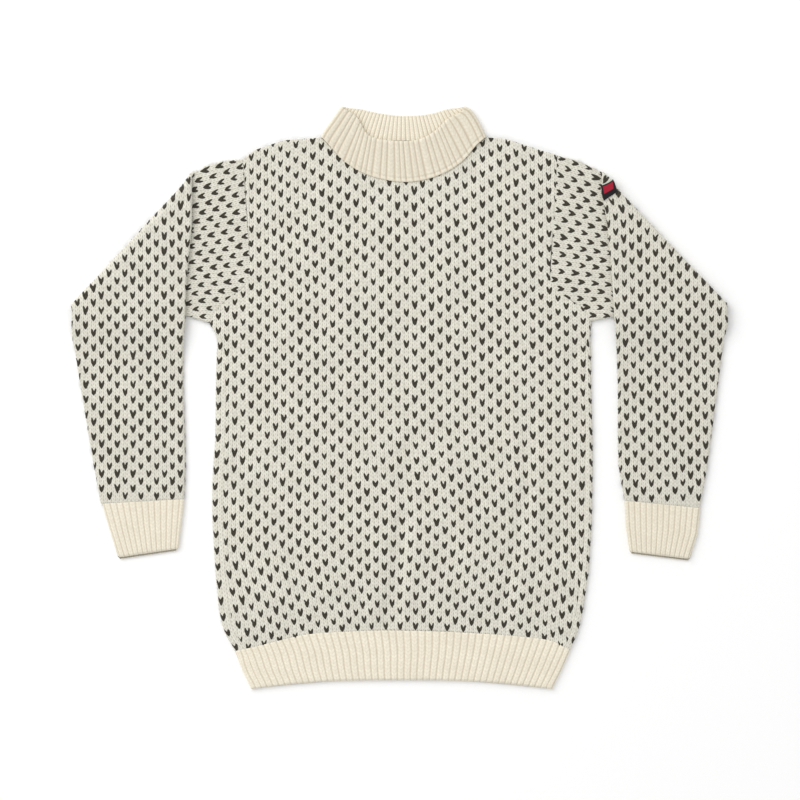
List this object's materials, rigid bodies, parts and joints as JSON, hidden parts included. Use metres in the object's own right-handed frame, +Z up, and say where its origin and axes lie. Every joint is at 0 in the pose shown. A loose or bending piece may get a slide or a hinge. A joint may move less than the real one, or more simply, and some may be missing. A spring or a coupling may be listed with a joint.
{
  "type": "sweater",
  "caption": "Long-sleeved wool pullover with a mock-turtle rib collar, laid flat on its back with both sleeves folded forward; a knit surface to lay on a shelf, bed or table",
  "frame": {"origin": "middle of the laid-out garment's outline, on the surface that it lies on", "axes": "+Z up through the cloth, +X towards the wearer's left sleeve, +Y from the hem to the collar"},
  "size_m": [0.8873, 0.786, 0.0156],
  "materials": {
    "knit": "matte wool stocking stitch, cream with small dark charcoal motifs",
    "rib": "matte wool 1x1 rib, warm cream",
    "label": "woven label, black border and red centre"
  },
  "bodies": {
    "root": {"front": "knit", "back": "knit", "sleeve_right": "knit", "sleeve_left": "knit", "hem_rib_front": "rib", "hem_rib_back": "rib", "cuff_right": "rib", "cuff_left": "rib", "collar": "rib", "sleeve_label": "label"}
  },
  "joints": []
}
